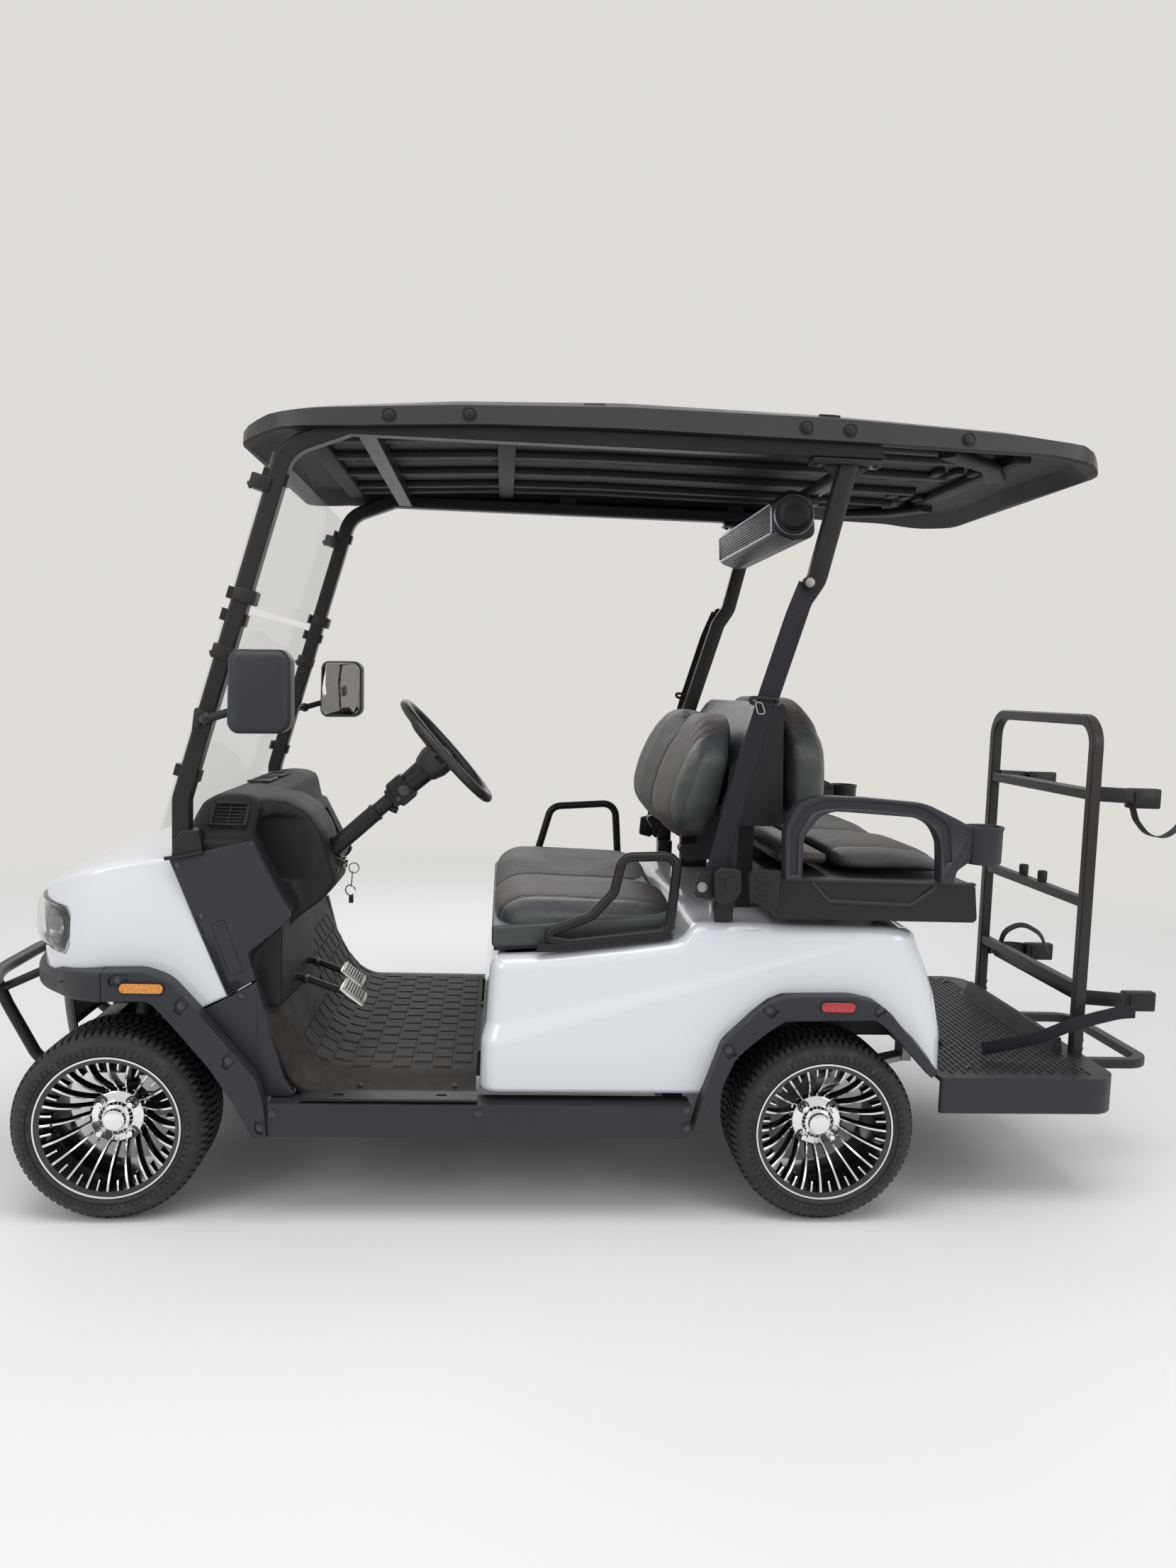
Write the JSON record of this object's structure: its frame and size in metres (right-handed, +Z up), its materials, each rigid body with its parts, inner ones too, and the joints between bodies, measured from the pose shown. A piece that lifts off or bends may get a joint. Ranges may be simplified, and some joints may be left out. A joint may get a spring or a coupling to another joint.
{
  "type": "golf cart",
  "caption": "Electric golf cart with front bench, rear-facing bench, canopy on struts, folding windshield, brush guard, foot platform and bag rack; wheels roll and steer, seats lift",
  "frame": {"origin": "on the ground, at the middle of the overall length and width", "axes": "+X forward, +Y to the driver's left side, +Z up"},
  "size_m": [3.265, 1.38, 1.9549],
  "materials": {
    "tyre": "low-profile tread rubber",
    "rim": "gloss black alloy with bright machined blades",
    "white_paint": "gloss white moulded body",
    "charcoal_plastic": "grained charcoal moulding",
    "black_plastic": "grained black moulding",
    "black_metal": "satin black powder coat",
    "canopy": "satin dark grey roof moulding",
    "seat_fabric": "dark grey seat vinyl with brown stitched inserts",
    "glass": "clear windshield",
    "lens": "clear lamp lens",
    "amber_lens": "amber reflector",
    "red_lens": "red lamp and reflector",
    "rubber": "ribbed rubber mat",
    "webbing": "woven black webbing",
    "steel": "running gear",
    "battery": "sealed battery case"
  },
  "bodies": {
    "root": {"armrests": "charcoal_plastic", "bag_rack": "black_metal", "bag_straps": "black_plastic", "battery_pack": "battery", "brush_guard": "black_metal", "canopy": "canopy", "dash_sides": "charcoal_plastic", "dashboard": "charcoal_plastic", "floor_mat": "rubber", "floor_pan": "black_plastic", "footplate": "charcoal_plastic", "frame": "black_metal", "front_backrest": "seat_fabric", "front_bumper": "charcoal_plastic", "front_cowl": "white_paint", "front_flares": "charcoal_plastic", "front_suspension": "black_metal", "headlamps": "lens", "hip_restraints": "black_metal", "mirrors": "black_plastic", "pedals": "black_metal", "rear_axle": "steel", "rear_backrest": "seat_fabric", "rear_body": "white_paint", "rear_bumper": "black_metal", "rear_flares": "charcoal_plastic", "rear_seat_base": "black_plastic", "rear_springs": "steel", "rear_struts": "black_metal", "reflectors": "amber_lens", "roof_frame": "black_metal", "seat_back_shell": "black_plastic", "seat_belts": "webbing", "sills": "charcoal_plastic", "sound_bar": "black_plastic", "steering_column": "black_metal", "tail_lamps": "red_lens", "windshield": "glass"},
    "left_knuckle": {"knuckle_left": "steel"},
    "right_knuckle": {"knuckle_right": "steel"},
    "front_left_wheel": {"rim_front_left": "rim", "tyre_front_left": "tyre"},
    "front_right_wheel": {"rim_front_right": "rim", "tyre_front_right": "tyre"},
    "rear_left_wheel": {"rim_rear_left": "rim", "tyre_rear_left": "tyre"},
    "rear_right_wheel": {"rim_rear_right": "rim", "tyre_rear_right": "tyre"},
    "steering_wheel_body": {"steering_wheel": "black_plastic"},
    "front_seat": {"front_seat_cushion": "seat_fabric"},
    "rear_seat": {"rear_seat_cushion": "seat_fabric"}
  },
  "joints": [
    {"name": "steer_left", "type": "hinge", "parent": "root", "child": "left_knuckle", "pos_m": [1.1925, 0.4, 0.2275], "axis": [0, 0, 1], "range_deg": [-28, 28]},
    {"name": "steer_right", "type": "hinge", "parent": "root", "child": "right_knuckle", "pos_m": [1.1925, -0.4, 0.2275], "axis": [0, 0, 1], "range_deg": [-28, 28]},
    {"name": "steering_wheel_turn", "type": "hinge", "parent": "root", "child": "steering_wheel_body", "pos_m": [0.4395, 0.3, 1.114], "axis": [-0.7373, 0, 0.6756], "range_deg": [-336, 336]},
    {"name": "front_left_roll", "type": "hinge", "parent": "left_knuckle", "child": "front_left_wheel", "pos_m": [1.1925, 0.49, 0.2275], "axis": [0, 1, 0], "continuous": true},
    {"name": "front_right_roll", "type": "hinge", "parent": "right_knuckle", "child": "front_right_wheel", "pos_m": [1.1925, -0.49, 0.2275], "axis": [0, 1, 0], "continuous": true},
    {"name": "rear_left_roll", "type": "hinge", "parent": "root", "child": "rear_left_wheel", "pos_m": [-0.5125, 0.49, 0.2275], "axis": [0, 1, 0], "continuous": true},
    {"name": "rear_right_roll", "type": "hinge", "parent": "root", "child": "rear_right_wheel", "pos_m": [-0.5125, -0.49, 0.2275], "axis": [0, 1, 0], "continuous": true},
    {"name": "front_seat_lift", "type": "hinge", "parent": "root", "child": "front_seat", "pos_m": [0.3115, 0, 0.648], "axis": [0, 1, 0], "range_deg": [0, 50]},
    {"name": "rear_seat_fold", "type": "hinge", "parent": "root", "child": "rear_seat", "pos_m": [-0.8505, 0, 0.852], "axis": [0, -1, 0], "range_deg": [0, 180]}
  ],
  "couplings": [
    {"joint": "steer_right", "follows": "steer_left", "ratio": 1},
    {"joint": "steering_wheel_turn", "follows": "steer_left", "ratio": 12}
  ]
}
